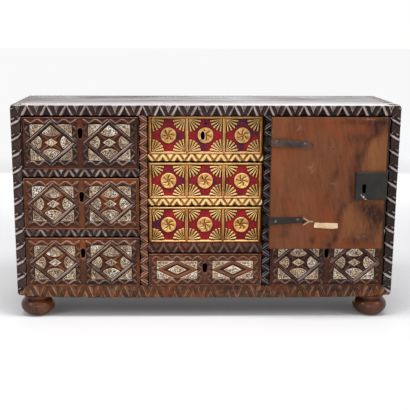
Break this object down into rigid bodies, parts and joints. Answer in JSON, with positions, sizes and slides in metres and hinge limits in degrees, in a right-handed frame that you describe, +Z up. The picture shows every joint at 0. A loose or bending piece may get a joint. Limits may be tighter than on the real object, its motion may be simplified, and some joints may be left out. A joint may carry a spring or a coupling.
{
  "type": "vargueno",
  "caption": "Table cabinet with carved rails, bone-inlaid lozenge drawers, gilt drawers behind an iron-strapped side-hung door, and bun feet.",
  "frame": {"origin": "on the floor, under the middle of the bounding box with the door open", "axes": "+X to the viewer's right along the front, +Y from the front to the back, +Z up"},
  "size_m": [1, 0.397, 0.567],
  "materials": {
    "case_walnut": "old waxed walnut, greyed on top",
    "carved_walnut": "dark carved walnut, worn crests",
    "drawer_walnut": "dark red-brown walnut",
    "door_walnut": "red-brown walnut, dry",
    "turned_walnut": "glossy polished walnut",
    "lining_wood": "plain softwood, unfinished",
    "gilding": "worn gold leaf over gesso, with red lacquer grounds",
    "bone": "engraved bone",
    "iron": "forged, dark brown",
    "paper": "old paper"
  },
  "bodies": {
    "case": {"case_top": "case_walnut", "case_bottom": "case_walnut", "case_side_left": "case_walnut", "case_side_right": "case_walnut", "case_back": "case_walnut", "frame_moulding_top": "carved_walnut", "frame_moulding_bottom": "carved_walnut", "frame_moulding_left": "carved_walnut", "frame_moulding_right": "carved_walnut", "divider_left": "carved_walnut", "divider_right": "carved_walnut", "shelf_left_lower": "carved_walnut", "shelf_left_upper": "carved_walnut", "shelf_right_lower": "carved_walnut", "shelf_right_upper": "carved_walnut", "shelf_centre": "carved_walnut", "shelf_gilt_lower": "gilding", "shelf_gilt_upper": "gilding", "bun_feet": "turned_walnut", "hinge_pintles": "iron"},
    "drawer_left_bottom": {"drawer_left_bottom_front": "drawer_walnut", "drawer_left_bottom_box": "lining_wood", "drawer_left_bottom_inlay": "bone"},
    "drawer_left_middle": {"drawer_left_middle_front": "drawer_walnut", "drawer_left_middle_box": "lining_wood", "drawer_left_middle_inlay": "bone"},
    "drawer_left_top": {"drawer_left_top_front": "drawer_walnut", "drawer_left_top_box": "lining_wood", "drawer_left_top_inlay": "bone"},
    "drawer_right_bottom": {"drawer_right_bottom_front": "drawer_walnut", "drawer_right_bottom_box": "lining_wood", "drawer_right_bottom_inlay": "bone"},
    "drawer_right_middle": {"drawer_right_middle_front": "drawer_walnut", "drawer_right_middle_box": "lining_wood", "drawer_right_middle_inlay": "bone"},
    "drawer_right_top": {"drawer_right_top_front": "drawer_walnut", "drawer_right_top_box": "lining_wood", "drawer_right_top_inlay": "bone"},
    "drawer_centre_low": {"drawer_centre_low_front": "drawer_walnut", "drawer_centre_low_box": "lining_wood", "drawer_centre_low_inlay": "bone"},
    "drawer_gilt_bottom": {"drawer_gilt_bottom_front": "gilding", "drawer_gilt_bottom_box": "lining_wood"},
    "drawer_gilt_middle": {"drawer_gilt_middle_front": "gilding", "drawer_gilt_middle_box": "lining_wood"},
    "drawer_gilt_top": {"drawer_gilt_top_front": "gilding", "drawer_gilt_top_box": "lining_wood"},
    "door": {"door_leaf": "door_walnut", "door_inlay": "bone", "door_strap_upper": "iron", "door_strap_lower": "iron", "door_lock_case": "iron", "door_nails": "iron", "door_label": "paper"},
    "lock_bolt": {"door_lock_bolt": "iron"}
  },
  "joints": [
    {"name": "drawer_left_bottom_slide", "type": "slide", "parent": "case", "child": "drawer_left_bottom", "axis": [0, -1, 0], "range_m": [0, 0.24]},
    {"name": "drawer_left_middle_slide", "type": "slide", "parent": "case", "child": "drawer_left_middle", "axis": [0, -1, 0], "range_m": [0, 0.24]},
    {"name": "drawer_left_top_slide", "type": "slide", "parent": "case", "child": "drawer_left_top", "axis": [0, -1, 0], "range_m": [0, 0.24]},
    {"name": "drawer_right_bottom_slide", "type": "slide", "parent": "case", "child": "drawer_right_bottom", "axis": [0, -1, 0], "range_m": [0, 0.018]},
    {"name": "drawer_right_middle_slide", "type": "slide", "parent": "case", "child": "drawer_right_middle", "axis": [0, -1, 0], "range_m": [0, 0.018]},
    {"name": "drawer_right_top_slide", "type": "slide", "parent": "case", "child": "drawer_right_top", "axis": [0, -1, 0], "range_m": [0, 0.018]},
    {"name": "drawer_centre_low_slide", "type": "slide", "parent": "case", "child": "drawer_centre_low", "axis": [0, -1, 0], "range_m": [0, 0.24]},
    {"name": "drawer_gilt_bottom_slide", "type": "slide", "parent": "case", "child": "drawer_gilt_bottom", "axis": [0, -1, 0], "range_m": [0, 0.24]},
    {"name": "drawer_gilt_middle_slide", "type": "slide", "parent": "case", "child": "drawer_gilt_middle", "axis": [0, -1, 0], "range_m": [0, 0.24]},
    {"name": "drawer_gilt_top_slide", "type": "slide", "parent": "case", "child": "drawer_gilt_top", "axis": [0, -1, 0], "range_m": [0, 0.24]},
    {"name": "door_hinge", "type": "hinge", "parent": "case", "child": "door", "pos_m": [0.1565, -0.1565, 0.37675], "axis": [0, 0, 1], "range_deg": [-180, 0]},
    {"name": "lock_bolt_slide", "type": "slide", "parent": "door", "child": "lock_bolt", "axis": [1, 0, 0], "range_m": [0, 0.012]}
  ]
}
